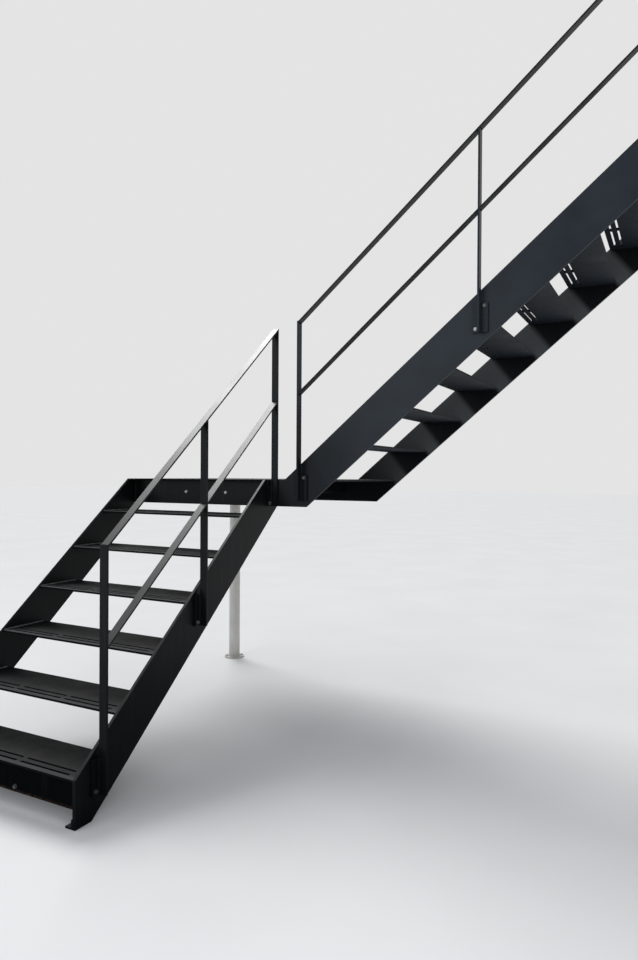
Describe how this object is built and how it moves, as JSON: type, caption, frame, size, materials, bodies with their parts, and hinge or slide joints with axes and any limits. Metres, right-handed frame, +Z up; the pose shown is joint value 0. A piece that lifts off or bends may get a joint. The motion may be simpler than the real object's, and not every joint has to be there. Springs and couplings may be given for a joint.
{
  "type": "fire escape stair",
  "caption": "Quarter-turn steel stair with open risers, slotted plate treads, plate stringers, a corner landing on one round column and a flat-bar railing on the open side.",
  "frame": {"origin": "centre of the floor face of the foot bracket under the open-side stringer of the lower flight", "axes": "+Z up, +Y up the lower flight, +X up the upper flight"},
  "size_m": [3.539, 2.5935, 4.0425],
  "materials": {
    "frame_paint": "satin dark grey paint",
    "tread_paint": "satin dark grey paint, worn at the nosings",
    "column_paint": "matt off-white paint"
  },
  "bodies": {
    "root": {"lower_stringer_open_side": "frame_paint", "lower_stringer_wall_side": "frame_paint", "lower_tread_1": "tread_paint", "lower_tread_2": "tread_paint", "lower_tread_3": "tread_paint", "lower_tread_4": "tread_paint", "lower_tread_5": "tread_paint", "lower_tread_6": "tread_paint", "lower_front_plate": "frame_paint", "lower_foot_open_side": "frame_paint", "lower_foot_wall_side": "frame_paint", "landing_plate": "tread_paint", "landing_front_beam": "frame_paint", "landing_bearer_1": "frame_paint", "landing_bearer_2": "frame_paint", "landing_bearer_3": "frame_paint", "landing_column": "column_paint", "upper_stringer_open_side": "frame_paint", "upper_stringer_wall_side": "frame_paint", "upper_tread_1": "tread_paint", "upper_tread_2": "tread_paint", "upper_tread_3": "tread_paint", "upper_tread_4": "tread_paint", "upper_tread_5": "tread_paint", "upper_tread_6": "tread_paint", "upper_tread_7": "tread_paint", "upper_tread_8": "tread_paint", "upper_top_plate": "tread_paint", "top_fixing_open_side": "frame_paint", "top_fixing_wall_side": "frame_paint", "lower_post_1": "frame_paint", "lower_post_2": "frame_paint", "lower_post_3": "frame_paint", "upper_post_1": "frame_paint", "upper_post_2": "frame_paint", "upper_post_3": "frame_paint", "lower_handrail": "frame_paint", "lower_mid_rail_1": "frame_paint", "lower_mid_rail_2": "frame_paint", "upper_handrail": "frame_paint", "upper_mid_rail_1": "frame_paint", "upper_mid_rail_2": "frame_paint"}
  },
  "joints": []
}
